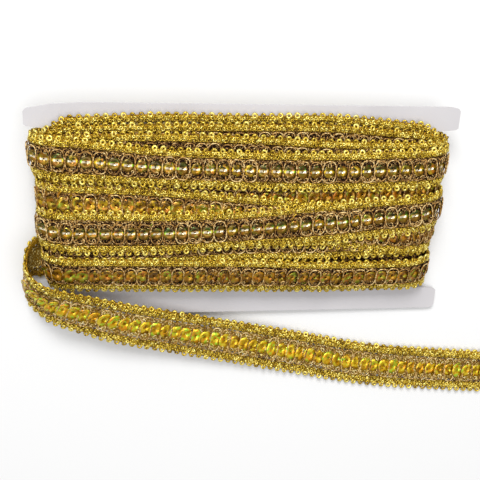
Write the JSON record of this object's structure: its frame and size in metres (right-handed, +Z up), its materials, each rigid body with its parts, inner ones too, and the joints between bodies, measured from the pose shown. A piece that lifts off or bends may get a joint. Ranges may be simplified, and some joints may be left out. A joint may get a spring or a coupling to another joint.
{
  "type": "sequin trim wound on a card",
  "caption": "Gold sequin gimp trim wound flat round a notched white card, one loose end looped round the left end and lying along the surface.",
  "frame": {"origin": "on the winding's flat underside, under the middle of the card", "axes": "+X along the card to the end away from the loop, +Y towards the card's raised long edge, +Z up"},
  "size_m": [0.2041, 0.128, 0.0257],
  "materials": {
    "white_card": "matte",
    "gold_trim": "metallic gold gimp cord, dark brown ground and holographic gold sequins"
  },
  "bodies": {
    "root": {"card": "white_card", "winding": "gold_trim", "tail": "gold_trim"}
  },
  "joints": []
}
